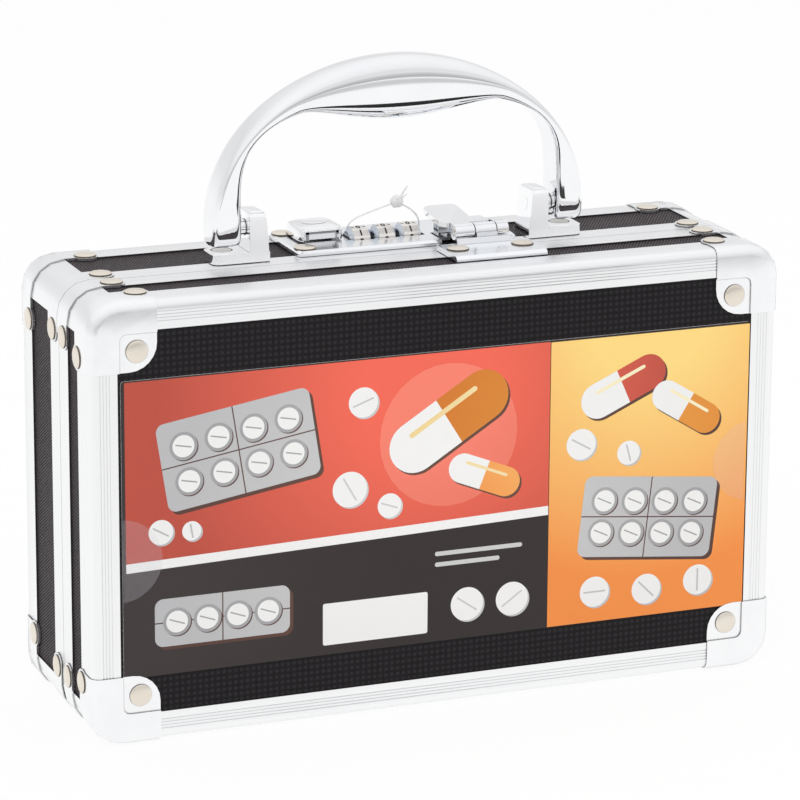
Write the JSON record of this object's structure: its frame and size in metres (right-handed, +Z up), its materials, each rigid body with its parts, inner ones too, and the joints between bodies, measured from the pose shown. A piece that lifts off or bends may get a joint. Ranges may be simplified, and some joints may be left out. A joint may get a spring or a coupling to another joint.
{
  "type": "locking medicine case",
  "caption": "Small carry case with aluminium edges, stamped corners, a folding chrome handle and a combination hasp lock.",
  "frame": {"origin": "middle of the underside that the case stands on, at the tops of the bottom rivets", "axes": "+X to the right seen from the front, +Y from the lid's face to the base's back, +Z up to the handle"},
  "size_m": [0.2102, 0.0644, 0.1841],
  "materials": {
    "edge_aluminium": "satin",
    "corner_nickel": "bright nickel",
    "black_board": "textured",
    "hardware_chrome": "mirror",
    "dial_nickel": "satin nickel",
    "plain_steel": "satin",
    "lining": "matt",
    "elastic": "woven",
    "card": "coated card",
    "nylon": "clear nylon"
  },
  "bodies": {
    "base": {"base_back_panel": "black_board", "base_board_top": "black_board", "base_board_bottom": "black_board", "base_board_left": "black_board", "base_board_right": "black_board", "base_trim_top": "edge_aluminium", "base_trim_bottom": "edge_aluminium", "base_trim_left": "edge_aluminium", "base_trim_right": "edge_aluminium", "base_mouth_frame": "edge_aluminium", "base_corner_tl": "corner_nickel", "base_corner_tr": "corner_nickel", "base_corner_bl": "corner_nickel", "base_corner_br": "corner_nickel", "base_lining": "lining", "base_mesh_pocket": "elastic", "hinge_left_base_leaf": "hardware_chrome", "hinge_left_pin": "hardware_chrome", "hinge_right_base_leaf": "hardware_chrome", "hinge_right_pin": "hardware_chrome", "handle_post_left": "hardware_chrome", "handle_post_right": "hardware_chrome", "handle_pin_left": "hardware_chrome", "handle_pin_right": "hardware_chrome", "handle_screw_left": "plain_steel", "handle_screw_right": "plain_steel", "lock_plate": "hardware_chrome", "lock_cover": "hardware_chrome", "dial_axle": "plain_steel", "button_spring": "plain_steel", "tag_loop": "nylon"},
    "lid": {"lid_face_panel": "black_board", "lid_board_top": "black_board", "lid_board_bottom": "black_board", "lid_board_left": "black_board", "lid_board_right": "black_board", "lid_trim_top": "edge_aluminium", "lid_trim_bottom": "edge_aluminium", "lid_trim_left": "edge_aluminium", "lid_trim_right": "edge_aluminium", "lid_mouth_frame": "edge_aluminium", "lid_corner_tl": "corner_nickel", "lid_corner_tr": "corner_nickel", "lid_corner_bl": "corner_nickel", "lid_corner_br": "corner_nickel", "lid_lining": "lining", "lid_elastic_strap": "elastic", "hinge_left_lid_leaf": "hardware_chrome", "hinge_right_lid_leaf": "hardware_chrome", "hasp_leaf": "hardware_chrome", "hasp_pin": "hardware_chrome", "label_card": "card"},
    "hasp": {"hasp_tongue": "hardware_chrome"},
    "handle": {"handle": "hardware_chrome"},
    "dial_1": {"dial_1": "dial_nickel"},
    "dial_2": {"dial_2": "dial_nickel"},
    "dial_3": {"dial_3": "dial_nickel"},
    "release_button": {"release_button": "hardware_chrome", "lock_bolt": "plain_steel"}
  },
  "joints": [
    {"name": "lid_hinge", "type": "hinge", "parent": "base", "child": "lid", "pos_m": [0, -0.00465, 0.00135], "axis": [1, 0, 0], "range_deg": [0, 95]},
    {"name": "hasp_swing", "type": "hinge", "parent": "lid", "child": "hasp", "pos_m": [0.0226, -0.0033, 0.13245], "axis": [1, 0, 0], "range_deg": [0, 140]},
    {"name": "handle_fold", "type": "hinge", "parent": "base", "child": "handle", "pos_m": [-0.0006, 0.0045, 0.13735], "axis": [1, 0, 0], "range_deg": [-94, 94]},
    {"name": "dial_1_spin", "type": "hinge", "parent": "base", "child": "dial_1", "pos_m": [-0.0078, 0.0138, 0.12775], "axis": [1, 0, 0], "continuous": true},
    {"name": "dial_2_spin", "type": "hinge", "parent": "base", "child": "dial_2", "pos_m": [-0.0001, 0.0138, 0.12775], "axis": [1, 0, 0], "continuous": true},
    {"name": "dial_3_spin", "type": "hinge", "parent": "base", "child": "dial_3", "pos_m": [0.0076, 0.0138, 0.12775], "axis": [1, 0, 0], "continuous": true},
    {"name": "button_slide", "type": "slide", "parent": "base", "child": "release_button", "axis": [1, 0, 0], "range_m": [-0.003, 0], "stiffness_N_per_m": 300, "springref_m": 0.001, "deforming": ["button_spring"]}
  ]
}
